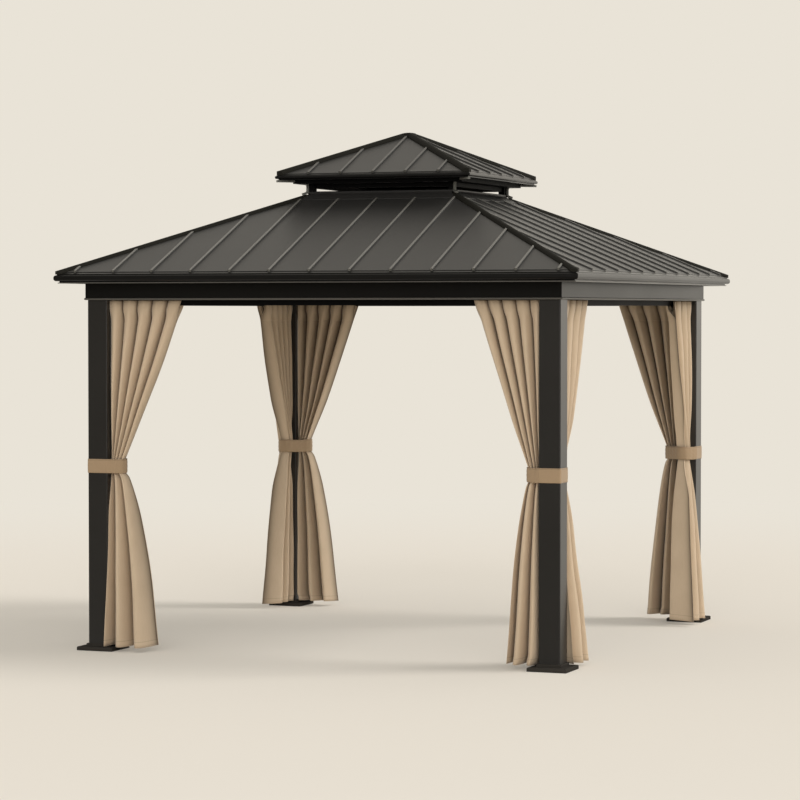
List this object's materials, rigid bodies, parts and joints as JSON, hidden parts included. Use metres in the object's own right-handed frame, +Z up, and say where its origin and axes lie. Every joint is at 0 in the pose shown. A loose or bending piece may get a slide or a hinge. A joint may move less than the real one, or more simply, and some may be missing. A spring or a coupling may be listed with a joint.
{
  "type": "hardtop gazebo with a two-tier roof",
  "caption": "Square garden gazebo on steel posts, with a two-tier standing-seam metal roof, a vented cupola and curtains tied back at the corners.",
  "frame": {"origin": "on the ground at the centre of the four posts", "axes": "+Z up, front towards -Y, +X to the right seen from the front"},
  "size_m": [3.05, 3.05, 2.933],
  "materials": {
    "steel_posts": "satin",
    "steel_feet": "satin",
    "steel_beams": "satin",
    "steel_trim": "satin",
    "roof_sheet": "satin",
    "steel_frame": "satin",
    "curtain_cloth": "matte",
    "band_cloth": "matte"
  },
  "bodies": {
    "root": {"post_front_left": "steel_posts", "post_front_right": "steel_posts", "post_back_left": "steel_posts", "post_back_right": "steel_posts", "foot_front_left": "steel_feet", "foot_front_right": "steel_feet", "foot_back_left": "steel_feet", "foot_back_right": "steel_feet", "beam_front": "steel_beams", "beam_right": "steel_beams", "beam_back": "steel_beams", "beam_left": "steel_beams", "eave_trim": "steel_trim", "hip_caps": "steel_trim", "corner_arms": "steel_trim", "cupola_caps": "steel_trim", "cupola_trim": "steel_trim", "roof_front": "roof_sheet", "roof_right": "roof_sheet", "roof_back": "roof_sheet", "roof_left": "roof_sheet", "neck_flashing": "roof_sheet", "cupola_front": "roof_sheet", "cupola_right": "roof_sheet", "cupola_back": "roof_sheet", "cupola_left": "roof_sheet", "curtain_rails": "steel_frame", "hip_rafters": "steel_frame", "middle_rafters": "steel_frame", "neck_frame": "steel_frame", "vent_frame": "steel_frame", "cupola_soffit": "steel_frame", "cupola_rafters": "steel_frame", "curtain_front_left": "curtain_cloth", "curtain_front_right": "curtain_cloth", "curtain_back_left": "curtain_cloth", "curtain_back_right": "curtain_cloth", "curtain_left_front": "curtain_cloth", "curtain_left_back": "curtain_cloth", "curtain_right_front": "curtain_cloth", "curtain_right_back": "curtain_cloth", "tie_front_left": "band_cloth", "tie_front_right": "band_cloth", "tie_back_left": "band_cloth", "tie_back_right": "band_cloth"}
  },
  "joints": []
}
